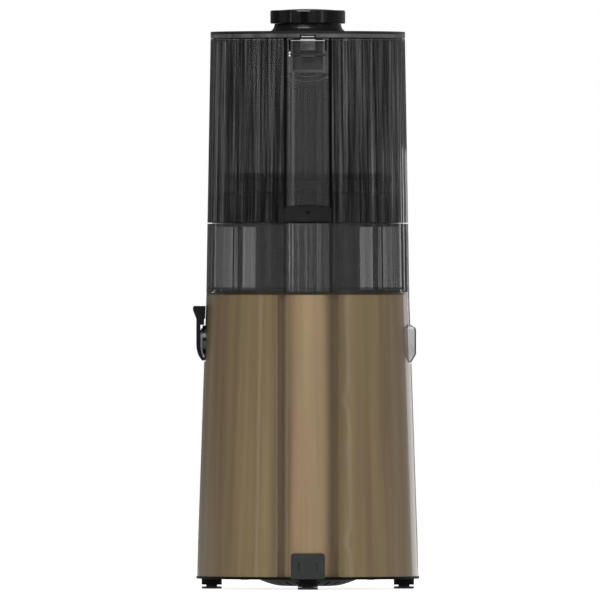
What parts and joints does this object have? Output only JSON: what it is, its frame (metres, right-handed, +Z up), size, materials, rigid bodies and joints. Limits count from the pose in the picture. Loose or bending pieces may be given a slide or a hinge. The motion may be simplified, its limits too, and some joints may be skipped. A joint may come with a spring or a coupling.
{
  "type": "cold press juicer",
  "caption": "Upright slow juicer: tapered bronze motor body with control dial, smoky fluted juicing chamber, fluted hopper with hinged lid, and a capped feed chute.",
  "frame": {"origin": "on the table under the middle of the foot circle, within about 2 mm of the bounding box's bottom centre", "axes": "+Z up along the body's axis, +Y towards the back with the spine, the mains inlet and the lid's hinge, -Y towards the control dial, +X towards the juice outlet"},
  "size_m": [0.1954, 0.1975, 0.5005],
  "materials": {
    "body_bronze": "satin bronze lacquer with a vertical brushed grain",
    "base_black": "fine moulded matt",
    "foot_rubber": "matt",
    "screw_steel": "zinc plated",
    "rod_steel": "drawn bright bar",
    "deck_dark": "dark olive moulding",
    "seal_rubber": "smooth moulded seal",
    "inlet_grey": "fine textured",
    "socket_black": "moulded",
    "contact_brass": "bright",
    "board_green": "solder resist with components",
    "switch_plastic": "moulded",
    "bezel_gloss": "polished",
    "dial_gold": "satin champagne with a spun face",
    "pointer_white": "filled line",
    "bracket_alloy": "die cast",
    "bearing_steel": "ground",
    "core_steel": "stacked sheet edges",
    "coil_copper": "enamelled copper wire",
    "rotor_steel": "turned core and shaft",
    "fan_plastic": "moulded",
    "gear_bronze": "cut bronze",
    "gear_steel": "hobbed steel",
    "drum_dark": "smoky polished moulding",
    "smoke_flute": "smoky fluted clear plastic",
    "spout_clear": "smoky clear plastic",
    "cap_black": "polished black",
    "chute_pale": "pale translucent grey",
    "lip_black": "silicone lip",
    "strainer_grey": "moulded with fine slots",
    "auger_dark": "moulded and polished",
    "wing_grey": "moulded",
    "bowl_dark": "smoky polished moulding",
    "latch_black": "polished black",
    "mark_grey": "filled mark",
    "pin_steel": "bright pin",
    "pocket_grey": "smoky moulding",
    "lid_smoke": "smoky polished moulding",
    "disc_gold": "spun champagne gold"
  },
  "bodies": {
    "base": {"body_shell": "body_bronze", "base_plate": "base_black", "foot_pads": "foot_rubber", "base_screws": "screw_steel", "tie_rods": "rod_steel", "deck": "deck_dark", "deck_screws": "screw_steel", "shaft_seal": "seal_rubber", "inlet_plate": "inlet_grey", "inlet_socket": "socket_black", "inlet_contacts": "contact_brass", "control_board": "board_green", "rotary_switch": "switch_plastic", "dial_bezel": "bezel_gloss", "motor_lower_bracket": "bracket_alloy", "motor_upper_bracket": "bracket_alloy", "motor_bearings": "bearing_steel", "motor_stator": "core_steel", "motor_coils": "coil_copper", "motor_bolts": "screw_steel", "gearbox_case": "bracket_alloy", "gearbox_cover": "bracket_alloy", "gearbox_screws": "screw_steel", "case_screws": "screw_steel", "layshaft_pin": "bearing_steel", "output_bearing": "bearing_steel"},
    "rotor": {"motor_rotor": "rotor_steel", "cooling_fan": "fan_plastic"},
    "layshaft": {"layshaft_gear": "gear_bronze"},
    "drive": {"output_gear": "gear_steel", "drive_shaft": "rod_steel"},
    "dial": {"dial": "dial_gold", "dial_pointer": "pointer_white"},
    "chamber": {"drum": "drum_dark", "chamber_shell": "smoke_flute", "hub_gasket": "seal_rubber", "seam_gasket": "seal_rubber", "juice_spout": "spout_clear", "juice_pin": "pin_steel", "pulp_chute": "chute_pale", "pulp_lip": "lip_black", "strainer": "strainer_grey"},
    "auger": {"auger": "auger_dark"},
    "juice_cap": {"juice_cap": "cap_black", "juice_seal": "seal_rubber"},
    "hopper": {"hopper_shell": "smoke_flute", "hopper_bowl": "bowl_dark", "lock_ring": "base_black", "hinge_pocket": "pocket_grey", "hinge_pin": "pin_steel"},
    "wing": {"cutting_wing": "wing_grey"},
    "latch": {"latch": "latch_black", "latch_mark": "mark_grey"},
    "lid": {"lid": "lid_smoke", "lid_gasket": "seal_rubber"},
    "cap": {"chute_cap": "cap_black", "cap_disc": "disc_gold", "cap_seal": "seal_rubber"}
  },
  "joints": [
    {"name": "drive_spin", "type": "hinge", "parent": "base", "child": "drive", "pos_m": [0, 0, 0.17], "axis": [0, 0, 1], "continuous": true},
    {"name": "layshaft_spin", "type": "hinge", "parent": "base", "child": "layshaft", "pos_m": [0.03, 0, 0.16], "axis": [0, 0, 1], "continuous": true},
    {"name": "rotor_spin", "type": "hinge", "parent": "base", "child": "rotor", "pos_m": [0, 0, 0.11], "axis": [0, 0, 1], "continuous": true},
    {"name": "dial_turn", "type": "hinge", "parent": "base", "child": "dial", "pos_m": [0, -0.094, 0.0786], "axis": [0, -1, 0], "range_deg": [-45, 45]},
    {"name": "chamber_lift", "type": "slide", "parent": "base", "child": "chamber", "axis": [0, 0, 1], "range_m": [0, 0.08]},
    {"name": "auger_spin", "type": "hinge", "parent": "chamber", "child": "auger", "pos_m": [0, 0, 0.25], "axis": [0, 0, 1], "continuous": true},
    {"name": "juice_cap_swing", "type": "hinge", "parent": "chamber", "child": "juice_cap", "pos_m": [0.09048, 0, 0.1985], "axis": [0, 1, 0], "range_deg": [0, 80]},
    {"name": "hopper_lift", "type": "slide", "parent": "chamber", "child": "hopper", "axis": [0, 0, 1], "range_m": [0, 0.06]},
    {"name": "wing_spin", "type": "hinge", "parent": "hopper", "child": "wing", "pos_m": [0, 0, 0.33], "axis": [0, 0, 1], "continuous": true},
    {"name": "latch_press", "type": "slide", "parent": "hopper", "child": "latch", "axis": [0, -1, 0], "range_m": [0, 0.0016], "stiffness_N_per_m": 600},
    {"name": "lid_hinge", "type": "hinge", "parent": "hopper", "child": "lid", "pos_m": [0, 0.081, 0.46], "axis": [-1, 0, 0], "range_deg": [0, 100]},
    {"name": "cap_lift", "type": "slide", "parent": "lid", "child": "cap", "axis": [0, 0, 1], "range_m": [0, 0.04]}
  ],
  "couplings": [
    {"joint": "layshaft_spin", "follows": "rotor_spin", "ratio": -0.25},
    {"joint": "drive_spin", "follows": "rotor_spin", "ratio": 0.0625},
    {"joint": "auger_spin", "follows": "rotor_spin", "ratio": 0.0625},
    {"joint": "wing_spin", "follows": "rotor_spin", "ratio": 0.0625}
  ]
}
